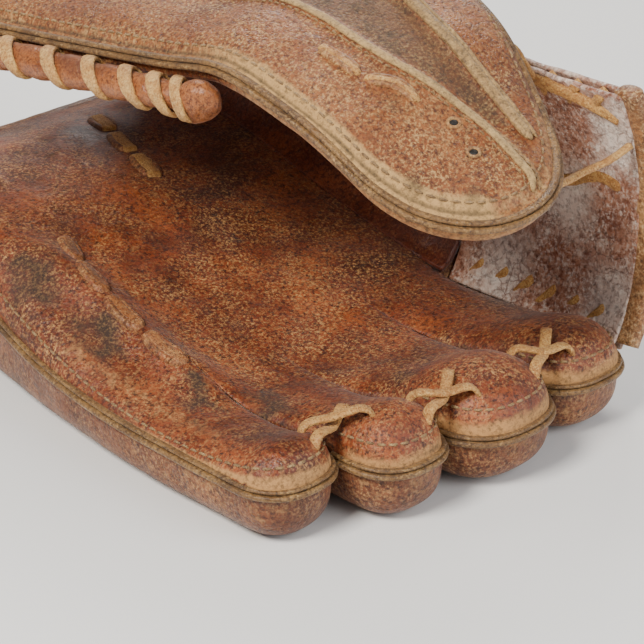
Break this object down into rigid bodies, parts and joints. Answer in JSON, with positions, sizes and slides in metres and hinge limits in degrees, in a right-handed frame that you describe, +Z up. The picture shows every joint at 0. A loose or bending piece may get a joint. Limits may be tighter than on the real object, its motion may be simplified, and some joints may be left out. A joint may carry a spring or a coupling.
{
  "type": "baseball glove",
  "caption": "Laced leather fielder's glove for the left hand, on its back and closed round an empty pocket: finger side flat, web at the far side, thumb side folded over the top.",
  "frame": {"origin": "on the resting plane, under the centre of the pocket, on the flat underside of the ring finger's back", "axes": "+Y to the fingertips, +X to the little-finger edge, +Z up, out of the resting face"},
  "size_m": [0.1622, 0.2437, 0.1388],
  "materials": {
    "shell_leather": "worn oiled red-brown leather with dark stains and pale scuffs",
    "pocket_leather": "dark, polished and greasy pocket leather",
    "web_leather": "pale, dry, scuffed leather",
    "lining": "soft undyed lining leather",
    "felt": "pressed wool felt",
    "welt": "tan welt leather, rubbed smooth",
    "lace": "fuzzy tan rawhide lace"
  },
  "bodies": {
    "hand": {"hand_back": "shell_leather", "hand_lining": "lining", "heel_felt": "felt", "little_finger_lace": "lace", "little_side_welt": "welt", "palm_felt": "felt", "palm_lace": "lace", "palm_leather": "pocket_leather", "strap_lace": "lace", "window_binding": "welt", "wrist_binding": "welt", "wrist_fleece": "felt", "wrist_strap": "shell_leather"},
    "finger_row": {"index_finger_back": "shell_leather", "index_finger_felt": "felt", "index_finger_front": "shell_leather", "index_finger_welt": "welt", "little_finger_back": "shell_leather", "little_finger_felt": "felt", "little_finger_front": "shell_leather", "little_finger_welt": "welt", "little_ring_tip_lace": "lace", "middle_finger_back": "shell_leather", "middle_finger_felt": "felt", "middle_finger_front": "shell_leather", "middle_finger_welt": "welt", "middle_index_tip_lace": "lace", "ring_finger_back": "shell_leather", "ring_finger_felt": "felt", "ring_finger_front": "shell_leather", "ring_finger_welt": "welt", "ring_middle_tip_lace": "lace"},
    "pocket": {"pocket_back": "shell_leather", "pocket_felt": "felt", "pocket_leather": "pocket_leather", "web_cross_lace": "lace", "web_inner_panel": "web_leather", "web_lace_index_side": "lace", "web_lace_thumb_side": "lace", "web_outer_panel": "web_leather", "web_top_band": "web_leather"},
    "thumb": {"heel_lace": "lace", "heel_roll": "shell_leather", "thumb_back": "shell_leather", "thumb_felt": "felt", "thumb_front": "shell_leather", "thumb_inner_welt": "welt", "thumb_lace": "lace", "thumb_welt": "welt"}
  },
  "joints": [
    {"name": "finger_flex", "type": "hinge", "parent": "hand", "child": "finger_row", "pos_m": [0, -0.04, 0.0265], "axis": [1, 0, 0], "range_deg": [0, 10]},
    {"name": "pocket_fold", "type": "hinge", "parent": "hand", "child": "pocket", "pos_m": [-0.0925, 0, 0.016], "axis": [0, -1, 0], "range_deg": [-8, 70]},
    {"name": "thumb_fold", "type": "hinge", "parent": "pocket", "child": "thumb", "pos_m": [-0.0845, 0, 0.105], "axis": [0, -1, 0], "range_deg": [-8, 70]}
  ],
  "couplings": [
    {"joint": "thumb_fold", "follows": "pocket_fold", "ratio": 1}
  ]
}
